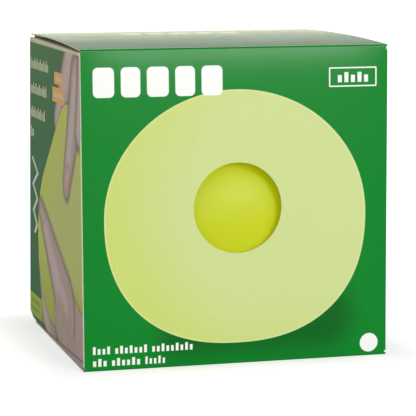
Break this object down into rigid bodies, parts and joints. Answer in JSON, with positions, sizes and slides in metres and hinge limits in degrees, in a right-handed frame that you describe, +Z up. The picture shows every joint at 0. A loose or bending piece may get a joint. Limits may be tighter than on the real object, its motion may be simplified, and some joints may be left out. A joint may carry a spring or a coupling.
{
  "type": "stress ball",
  "caption": "Jumbo gel stress ball in a square tuck-end paperboard carton with a round window in its front.",
  "frame": {"origin": "middle of the carton's footprint, on its underside", "axes": "+Z up, the windowed front panel faces -Y, +X to the right seen from the front"},
  "size_m": [0.1142, 0.1016, 0.1168],
  "materials": {
    "printed_board": "satin",
    "plain_board": "matte",
    "ball_rubber": "satin",
    "gel": "gloss"
  },
  "bodies": {
    "carton": {"front_panel": "printed_board", "left_panel": "printed_board", "right_panel": "printed_board", "back_panel": "printed_board", "glue_flap": "plain_board", "bottom_panel": "printed_board", "bottom_tuck_flap": "plain_board", "bottom_dust_flap_left": "plain_board", "bottom_dust_flap_right": "plain_board"},
    "lid": {"top_lid": "printed_board"},
    "tuck": {"top_tuck_flap": "plain_board"},
    "dust_left": {"top_dust_flap_left": "plain_board"},
    "dust_right": {"top_dust_flap_right": "plain_board"},
    "ball": {"ball_skin": "ball_rubber", "gel_core": "gel"},
    "plug": {"fill_plug": "ball_rubber"}
  },
  "joints": [
    {"name": "ball_lift", "type": "slide", "parent": "carton", "child": "ball", "axis": [0, 0, 1], "range_m": [0, 0.11]},
    {"name": "lid_hinge", "type": "hinge", "parent": "carton", "child": "lid", "pos_m": [0, -0.0508, 0.1148], "axis": [1, 0, 0], "range_deg": [0, 180.5]},
    {"name": "tuck_fold", "type": "hinge", "parent": "lid", "child": "tuck", "pos_m": [0, 0.0492, 0.1166], "axis": [1, 0, 0], "range_deg": [0, 72.5]},
    {"name": "dust_left_fold", "type": "hinge", "parent": "carton", "child": "dust_left", "pos_m": [-0.05715, 0, 0.114], "axis": [0, -1, 0], "range_deg": [0, 120.5]},
    {"name": "dust_right_fold", "type": "hinge", "parent": "carton", "child": "dust_right", "pos_m": [0.05715, 0, 0.114], "axis": [0, 1, 0], "range_deg": [0, 120.5]},
    {"name": "squeeze", "type": "slide", "parent": "ball", "child": "plug", "axis": [0, 0, -1], "range_m": [0, 0.028], "stiffness_N_per_m": 1200, "deforming": ["ball_skin", "gel_core"]}
  ],
  "couplings": [
    {"joint": "lid_hinge", "follows": "ball_lift", "rad_per_m": 28.56},
    {"joint": "tuck_fold", "follows": "ball_lift", "rad_per_m": 11.42},
    {"joint": "dust_left_fold", "follows": "ball_lift", "rad_per_m": 19.04},
    {"joint": "dust_right_fold", "follows": "ball_lift", "rad_per_m": 19.04}
  ]
}
